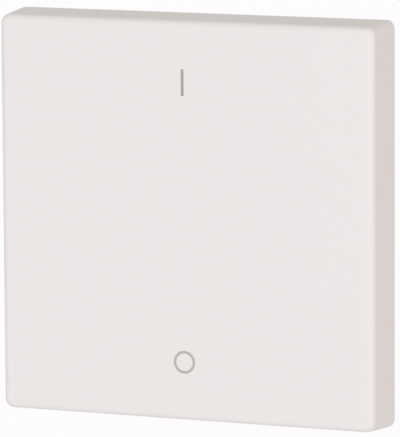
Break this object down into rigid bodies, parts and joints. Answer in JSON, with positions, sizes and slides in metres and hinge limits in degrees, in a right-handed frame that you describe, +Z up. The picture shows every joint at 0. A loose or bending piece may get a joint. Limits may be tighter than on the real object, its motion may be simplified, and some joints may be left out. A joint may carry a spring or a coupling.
{
  "type": "rocker light switch",
  "caption": "Flat white wall light switch: a square rocker with on and off marks tilts on snap-in bearings over sprung plungers in a slim battery radio module held by a wall plate.",
  "frame": {"origin": "middle of the face that lies on the wall, at the centre of the screw holes' circle", "axes": "+Z up, +X to the right seen from the front, +Y into the wall, so the rocker faces -Y"},
  "size_m": [0.055, 0.0123, 0.055],
  "materials": {
    "rocker_white": "smooth satin moulded white",
    "mark_grey": "thin pad-printed grey ink of the on and off marks",
    "plate_grey": "fine matt moulded light grey",
    "housing_white": "fine matt moulded off-white",
    "board_green": "solder mask over glass laminate",
    "pad_gold": "plated contact pads",
    "chip_black": "moulded chip packages",
    "crystal_can": "plain metal can",
    "capacitor_tan": "ceramic chips",
    "antenna_tin": "tinned stamped strip",
    "cell_steel": "brushed nickel-plated can",
    "contact_steel": "spring strip",
    "screw_steel": "zinc-plated",
    "plunger_natural": "natural self-lubricating plastic",
    "cap_rubber": "conducting rubber",
    "spring_steel": "drawn spring wire"
  },
  "bodies": {
    "base": {"wall_plate": "plate_grey", "rear_housing": "housing_white", "bearing_cover": "housing_white", "circuit_board": "board_green", "contact_pads": "pad_gold", "radio_chip": "chip_black", "memory_chip": "chip_black", "crystal": "crystal_can", "chip_capacitors": "capacitor_tan", "antenna": "antenna_tin", "coin_cell": "cell_steel", "cell_clip": "contact_steel", "cell_leaf": "contact_steel", "housing_screws": "screw_steel", "upper_return_spring": "spring_steel", "lower_return_spring": "spring_steel"},
    "rocker_cap": {"rocker": "rocker_white"},
    "upper_button": {"upper_plunger": "plunger_natural", "upper_contact_cap": "cap_rubber"},
    "lower_button": {"lower_plunger": "plunger_natural", "lower_contact_cap": "cap_rubber"}
  },
  "joints": [
    {"name": "rocker_tilt", "type": "hinge", "parent": "base", "child": "rocker_cap", "pos_m": [0, -0.0079, 0], "axis": [-1, 0, 0], "range_deg": [-2, 2], "stiffness_Nm_per_rad": 0.3},
    {"name": "upper_plunger_slide", "type": "slide", "parent": "base", "child": "upper_button", "axis": [0, 1, 0], "range_m": [-0.00053, 0.00053], "deforming": ["upper_return_spring"]},
    {"name": "lower_plunger_slide", "type": "slide", "parent": "base", "child": "lower_button", "axis": [0, 1, 0], "range_m": [-0.00053, 0.00053], "deforming": ["lower_return_spring"]}
  ],
  "couplings": [
    {"joint": "upper_plunger_slide", "follows": "rocker_tilt", "m_per_rad": 0.015},
    {"joint": "lower_plunger_slide", "follows": "rocker_tilt", "m_per_rad": -0.015}
  ]
}
